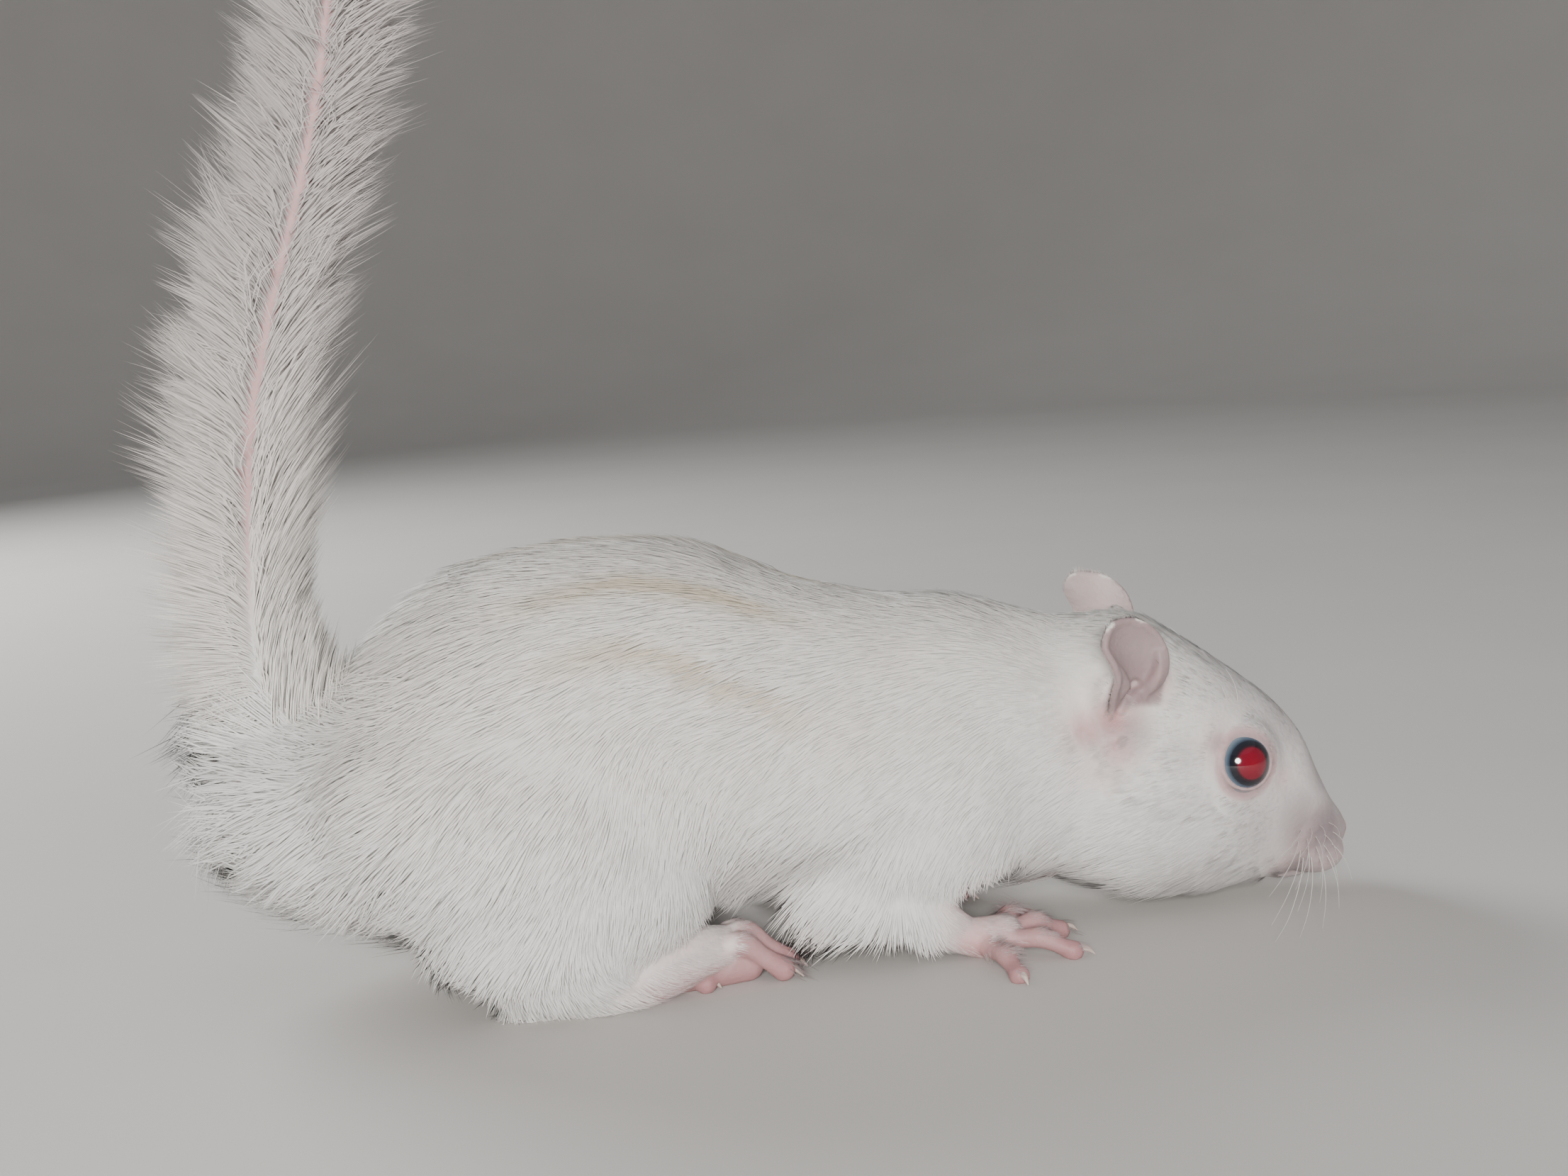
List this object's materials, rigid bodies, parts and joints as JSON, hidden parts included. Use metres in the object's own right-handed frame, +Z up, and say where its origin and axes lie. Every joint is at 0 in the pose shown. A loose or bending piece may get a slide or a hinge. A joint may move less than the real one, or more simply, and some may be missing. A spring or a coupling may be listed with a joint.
{
  "type": "albino siberian chipmunk",
  "caption": "Life-size still model of an albino Siberian chipmunk, crouched on all fours with its bushy tail held straight up.",
  "frame": {"origin": "middle of the whole animal's box, on the floor it stands on", "axes": "+X towards the nose, +Y towards the animal's left side, +Z up"},
  "size_m": [0.153, 0.0556, 0.1466],
  "materials": {
    "coat": "warm white fur with faint beige stripes along the back",
    "bare_skin": "thin-haired pink skin of ears and paws, with pale claws on the paws",
    "eye": "wet, clear red eye with a dark rim"
  },
  "bodies": {
    "root": {"head": "coat", "neck": "coat", "trunk": "coat", "tail_base": "coat", "tail_middle": "coat", "tail_tip": "coat", "ear_right": "bare_skin", "ear_left": "bare_skin", "eye_right": "eye", "eye_left": "eye", "foreleg_right": "coat", "foreleg_left": "coat", "forefoot_right": "bare_skin", "forefoot_left": "bare_skin", "hind_leg_right": "coat", "hind_leg_left": "coat", "hind_foot_right": "bare_skin", "hind_foot_left": "bare_skin"}
  },
  "joints": []
}
